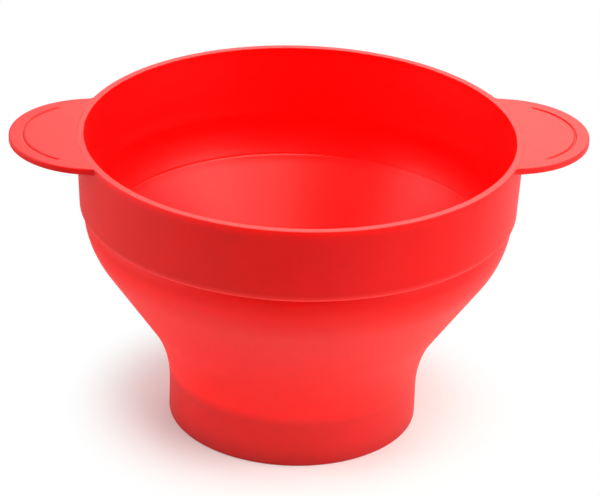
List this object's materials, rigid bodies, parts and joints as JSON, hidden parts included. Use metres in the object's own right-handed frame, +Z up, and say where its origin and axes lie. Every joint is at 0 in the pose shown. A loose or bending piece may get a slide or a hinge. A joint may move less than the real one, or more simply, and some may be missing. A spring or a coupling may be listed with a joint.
{
  "type": "collapsible silicone bowl",
  "caption": "Collapsible red silicone bowl with a narrow base cup, a conical wall that folds down inside the rim band, and flat tab handles flush with the lip.",
  "frame": {"origin": "centre of the foot's underside, on the bowl's axis, with the bowl open", "axes": "+Z up along the bowl's axis, +X towards the right handle, so that both handles lie along X"},
  "size_m": [0.26, 0.2, 0.139],
  "materials": {
    "cup_silicone": "matte moulded silicone, thick wall",
    "fold_silicone": "matte moulded silicone, thin translucent wall",
    "band_silicone": "matte moulded silicone, thick wall",
    "handle_silicone": "matte moulded silicone, flat tab"
  },
  "bodies": {
    "base": {"base_cup": "cup_silicone", "neck_hinge": "fold_silicone"},
    "fold_ring_1": {"fold_ring_1": "fold_silicone"},
    "fold_ring_2": {"fold_ring_2": "fold_silicone"},
    "fold_ring_3": {"fold_ring_3": "fold_silicone"},
    "fold_ring_4": {"fold_ring_4": "fold_silicone"},
    "fold_ring_5": {"fold_ring_5": "fold_silicone"},
    "fold_ring_6": {"fold_ring_6": "fold_silicone"},
    "fold_ring_7": {"fold_ring_7": "fold_silicone"},
    "fold_ring_8": {"fold_ring_8": "fold_silicone"},
    "band": {"shoulder_hinge": "fold_silicone", "rim_band": "band_silicone", "handle_left": "handle_silicone", "handle_right": "handle_silicone"}
  },
  "joints": [
    {"name": "collapse", "type": "slide", "parent": "base", "child": "band", "axis": [0, 0, 1], "range_m": [-0.088, 0]},
    {"name": "ring_1_fold", "type": "slide", "parent": "base", "child": "fold_ring_1", "axis": [0, 0, 1], "range_m": [-0.0012, 0]},
    {"name": "ring_2_fold", "type": "slide", "parent": "base", "child": "fold_ring_2", "axis": [0, 0, 1], "range_m": [-0.0083, 0]},
    {"name": "ring_3_fold", "type": "slide", "parent": "base", "child": "fold_ring_3", "axis": [0, 0, 1], "range_m": [-0.0206, 0]},
    {"name": "ring_4_fold", "type": "slide", "parent": "base", "child": "fold_ring_4", "axis": [0, 0, 1], "range_m": [-0.036, 0]},
    {"name": "ring_5_fold", "type": "slide", "parent": "base", "child": "fold_ring_5", "axis": [0, 0, 1], "range_m": [-0.0524, 0]},
    {"name": "ring_6_fold", "type": "slide", "parent": "base", "child": "fold_ring_6", "axis": [0, 0, 1], "range_m": [-0.0678, 0]},
    {"name": "ring_7_fold", "type": "slide", "parent": "base", "child": "fold_ring_7", "axis": [0, 0, 1], "range_m": [-0.0801, 0]},
    {"name": "ring_8_fold", "type": "slide", "parent": "base", "child": "fold_ring_8", "axis": [0, 0, 1], "range_m": [-0.0872, 0]}
  ],
  "couplings": [
    {"joint": "ring_1_fold", "follows": "collapse", "ratio": 0.01123},
    {"joint": "ring_2_fold", "follows": "collapse", "ratio": 0.092285},
    {"joint": "ring_3_fold", "follows": "collapse", "ratio": 0.23193},
    {"joint": "ring_4_fold", "follows": "collapse", "ratio": 0.40674},
    {"joint": "ring_5_fold", "follows": "collapse", "ratio": 0.59326},
    {"joint": "ring_6_fold", "follows": "collapse", "ratio": 0.76807},
    {"joint": "ring_7_fold", "follows": "collapse", "ratio": 0.90772},
    {"joint": "ring_8_fold", "follows": "collapse", "ratio": 0.98877}
  ]
}
